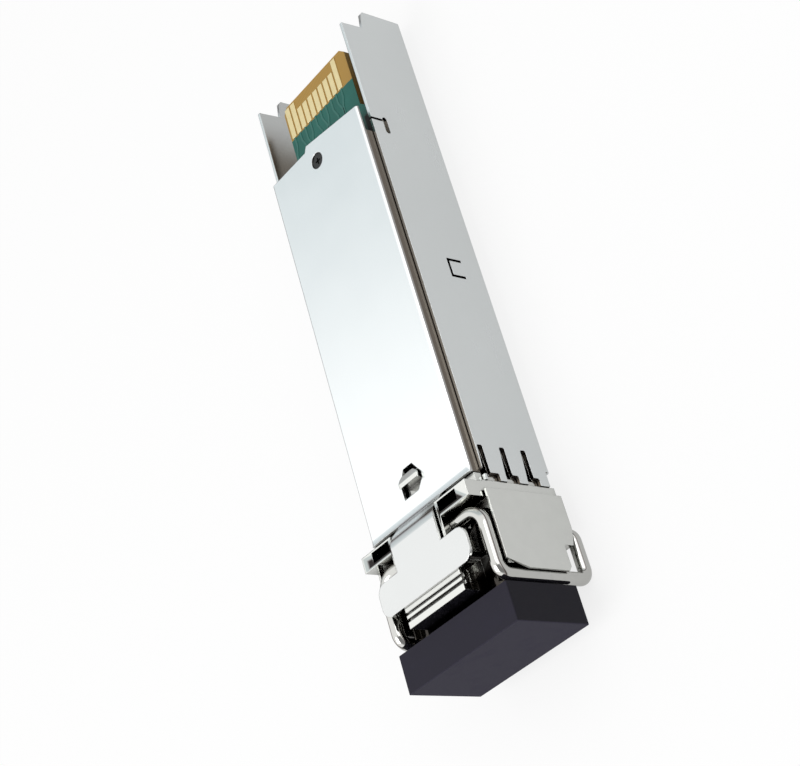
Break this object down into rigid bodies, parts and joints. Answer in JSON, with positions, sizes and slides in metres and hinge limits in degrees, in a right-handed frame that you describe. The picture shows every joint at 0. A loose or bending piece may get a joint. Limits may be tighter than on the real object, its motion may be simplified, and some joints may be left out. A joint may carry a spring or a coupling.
{
  "type": "sfp transceiver",
  "caption": "Pluggable optical transceiver with a duplex port, a wire bail latch, an edge connector and a dust plug.",
  "frame": {"origin": "under the middle of the whole object, at the height of its lowest point", "axes": "+Y along the body towards the edge connector, +Z out of the latch-side cover, +X across"},
  "size_m": [0.0138, 0.0602, 0.0114],
  "materials": {
    "shell_metal": "nickel-plated sheet",
    "cover_metal": "bright nickel-plated sheet",
    "cast_metal": "nickel-plated casting",
    "bail_wire": "polished",
    "spring_steel": "drawn",
    "plug_rubber": "matte",
    "board": "solder mask",
    "gold": "gold plating",
    "chip_black": "matte",
    "ceramic_tan": "matte",
    "ceramic_white": "ceramic",
    "optics_steel": "turned",
    "flex_amber": "film",
    "post_brass": "turned",
    "pad_grey": "soft"
  },
  "bodies": {
    "module": {"top_cover": "shell_metal", "bottom_cover": "cover_metal", "nose_housing": "cast_metal", "circuit_board": "board", "latch_side_contacts": "gold", "cover_side_contacts": "gold", "laser_driver_chip": "chip_black", "amplifier_chip": "chip_black", "controller_chip": "chip_black", "latch_side_passives": "ceramic_tan", "cover_side_passives": "ceramic_tan", "transmit_barrel": "optics_steel", "transmit_can": "gold", "transmit_sleeve": "ceramic_white", "transmit_fibre_stub": "ceramic_white", "transmit_flex": "flex_amber", "receive_barrel": "optics_steel", "receive_can": "gold", "receive_sleeve": "ceramic_white", "receive_flex": "flex_amber", "optics_retainer": "optics_steel", "screw_post": "post_brass", "cover_screw": "optics_steel", "thermal_pad": "pad_grey", "rocker_spring": "spring_steel"},
    "bail": {"bail": "bail_wire"},
    "rocker": {"latch_rocker": "cast_metal"},
    "plug": {"dust_plug": "plug_rubber"}
  },
  "joints": [
    {"name": "bail_swing", "type": "hinge", "parent": "module", "child": "bail", "pos_m": [0, -0.02035, 0.00983], "axis": [-1, 0, 0], "range_deg": [0, 90]},
    {"name": "rocker_tilt", "type": "hinge", "parent": "module", "child": "rocker", "pos_m": [0, -0.01735, 0.00908], "axis": [-1, 0, 0], "range_deg": [0, 10.6], "deforming": ["rocker_spring"]},
    {"name": "plug_pull", "type": "slide", "parent": "module", "child": "plug", "axis": [0, -1, 0], "range_m": [0, 0.026]}
  ],
  "couplings": [
    {"joint": "bail_swing", "follows": "plug_pull", "rad_per_m": 60.41},
    {"joint": "rocker_tilt", "follows": "plug_pull", "rad_per_m": 7.05}
  ]
}
